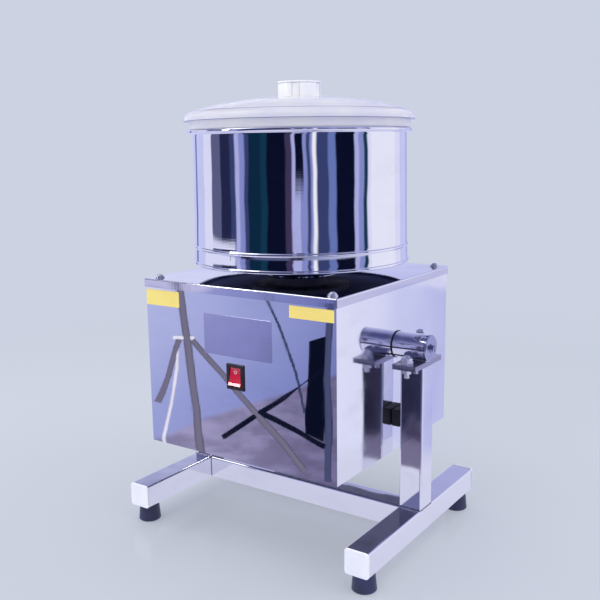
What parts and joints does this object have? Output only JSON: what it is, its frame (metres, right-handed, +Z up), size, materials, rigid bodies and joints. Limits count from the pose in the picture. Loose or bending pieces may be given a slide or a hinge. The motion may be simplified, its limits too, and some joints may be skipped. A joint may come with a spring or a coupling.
{
  "type": "tilting wet grinder",
  "caption": "Table-top wet grinder: a tilting stainless housing on a tube stand turns an open drum with a stone base and conical roller stones under a clear lid.",
  "frame": {"origin": "on the floor under the drum's axis, in the middle of the four rubber feet", "axes": "+Z up along the drum's axis; -Y towards the user, where the front panel and its switch are; +X to the user's right as the user faces the front panel, along the tilt axis"},
  "size_m": [0.3766, 0.288, 0.568],
  "materials": {
    "tube_steel": "satin stainless box tube",
    "turned_steel": "fine turned steel",
    "white_plastic": "moulded white",
    "foot_rubber": "moulded matt",
    "bright_fasteners": "bright plated",
    "panel_steel": "mirror-polished stainless steel",
    "inner_steel": "galvanised sheet",
    "black_plastic": "fine grain",
    "dark_fasteners": "blackened",
    "motor_paint": "semi-gloss",
    "cast_aluminium": "cast",
    "lamination": "varnished laminations",
    "copper": "enamelled winding",
    "belt_rubber": "ribbed belt",
    "red_plastic": "translucent red",
    "drum_steel": "mirror-polished stainless",
    "granite": "dressed dark granite",
    "hub_iron": "turned casting, dark",
    "nylon": "machined nylon",
    "bush_bronze": "sintered bronze",
    "clear_plastic": "clear polycarbonate"
  },
  "bodies": {
    "stand": {"left_skid": "tube_steel", "right_skid": "tube_steel", "cross_tube": "tube_steel", "left_post": "tube_steel", "right_post": "tube_steel", "left_pivot_block": "turned_steel", "right_pivot_block": "turned_steel", "skid_end_caps": "white_plastic", "rubber_feet": "foot_rubber", "foot_bolts": "bright_fasteners", "pivot_plate_fasteners": "bright_fasteners", "rubber_rub_pads": "foot_rubber"},
    "tilting_head": {"front_panel": "panel_steel", "back_panel": "panel_steel", "left_side_panel": "panel_steel", "right_side_panel": "panel_steel", "top_cover": "panel_steel", "corner_brackets": "inner_steel", "cover_bolts": "bright_fasteners", "bottom_tray": "inner_steel", "cord_grommet": "foot_rubber", "left_trunnion": "turned_steel", "right_trunnion": "turned_steel", "side_panel_bolts": "bright_fasteners", "thrust_washers": "black_plastic", "trunnion_end_caps": "bright_fasteners", "drive_deck": "inner_steel", "deck_fasteners": "dark_fasteners", "centre_spindle": "turned_steel", "bearing_inner_races": "turned_steel", "tension_knob": "turned_steel", "motor_shell": "motor_paint", "motor_end_shields": "cast_aluminium", "motor_stator": "lamination", "motor_windings": "copper", "run_capacitor": "cast_aluminium", "drive_belt": "belt_rubber", "switch_body": "black_plastic"},
    "switch_key": {"switch_rocker": "red_plastic"},
    "motor_shaft": {"motor_rotor": "turned_steel", "motor_fan": "black_plastic", "motor_pulley": "cast_aluminium"},
    "drum": {"drum_shell": "drum_steel", "base_stone": "granite", "drum_hub": "hub_iron", "hub_bolts": "bright_fasteners", "bearing_outer_races": "turned_steel", "drum_pulley": "cast_aluminium"},
    "stone_carrier": {"stone_yoke": "drum_steel", "yoke_fasteners": "bright_fasteners", "pressure_spring": "turned_steel", "scraper_blade": "nylon"},
    "left_roller": {"left_roller_stone": "granite", "left_roller_bush": "bush_bronze"},
    "right_roller": {"right_roller_stone": "granite", "right_roller_bush": "bush_bronze"},
    "lid": {"lid_shell": "clear_plastic", "lid_knob": "clear_plastic", "lid_screw": "bright_fasteners"}
  },
  "joints": [
    {"name": "tilt", "type": "hinge", "parent": "stand", "child": "tilting_head", "pos_m": [0, 0, 0.2535], "axis": [1, 0, 0], "range_deg": [0, 100]},
    {"name": "switch_rock", "type": "hinge", "parent": "tilting_head", "child": "switch_key", "pos_m": [0, -0.13775, 0.2245], "axis": [1, 0, 0], "range_deg": [0, 20]},
    {"name": "drum_spin", "type": "hinge", "parent": "tilting_head", "child": "drum", "pos_m": [0, 0, 0.32], "axis": [0, 0, 1], "continuous": true},
    {"name": "motor_spin", "type": "hinge", "parent": "tilting_head", "child": "motor_shaft", "pos_m": [-0.08, 0.08, 0.226], "axis": [0, 0, 1], "continuous": true},
    {"name": "stone_float", "type": "slide", "parent": "tilting_head", "child": "stone_carrier", "axis": [0, 0, 1], "range_m": [0, 0.003], "stiffness_N_per_m": 4000, "springref_m": -0.012, "deforming": ["pressure_spring"]},
    {"name": "left_roller_spin", "type": "hinge", "parent": "stone_carrier", "child": "left_roller", "pos_m": [0, 0, 0.3925], "axis": [-0.866, 0, 0.5], "continuous": true},
    {"name": "right_roller_spin", "type": "hinge", "parent": "stone_carrier", "child": "right_roller", "pos_m": [0, 0, 0.3925], "axis": [0.866, 0, 0.5], "continuous": true},
    {"name": "lid_lift", "type": "slide", "parent": "drum", "child": "lid", "axis": [0, 0, 1], "range_m": [0, 0.15]}
  ],
  "couplings": [
    {"joint": "motor_spin", "follows": "drum_spin", "ratio": 8},
    {"joint": "left_roller_spin", "follows": "drum_spin", "ratio": 2},
    {"joint": "right_roller_spin", "follows": "drum_spin", "ratio": 2}
  ]
}
